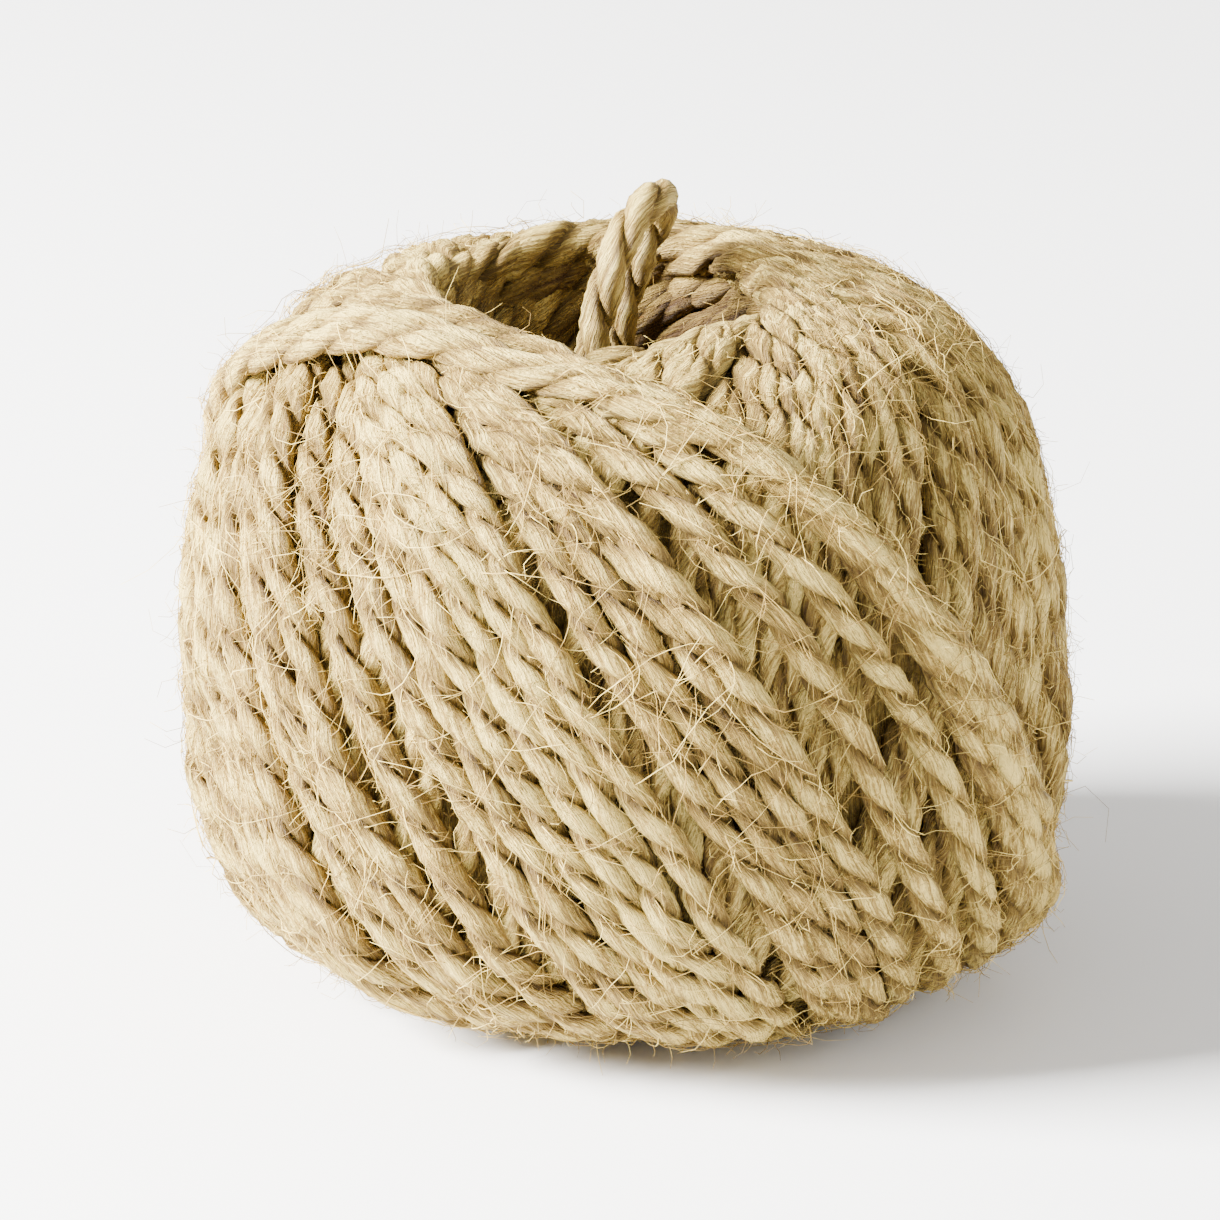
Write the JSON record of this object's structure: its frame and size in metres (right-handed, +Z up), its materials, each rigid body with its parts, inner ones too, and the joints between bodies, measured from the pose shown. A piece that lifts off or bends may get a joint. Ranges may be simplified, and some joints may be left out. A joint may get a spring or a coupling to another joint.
{
  "type": "centre-pull ball of jute twine",
  "caption": "Machine-wound ball of natural two-ply jute twine with a flared open well through its middle and the inner end doubled up above it as a pull loop.",
  "frame": {"origin": "on the resting surface, under the middle of the ball's box", "axes": "+Z up along the well, -Y towards the side where the newest turns run down, +X to the right seen from there"},
  "size_m": [0.0883, 0.0902, 0.0798],
  "materials": {
    "jute": "natural jute, two plies twisted together, hairy, matt with a slight silky sheen along the fibres"
  },
  "bodies": {
    "root": {"twine_ball": "jute", "pull_loop": "jute"}
  },
  "joints": []
}
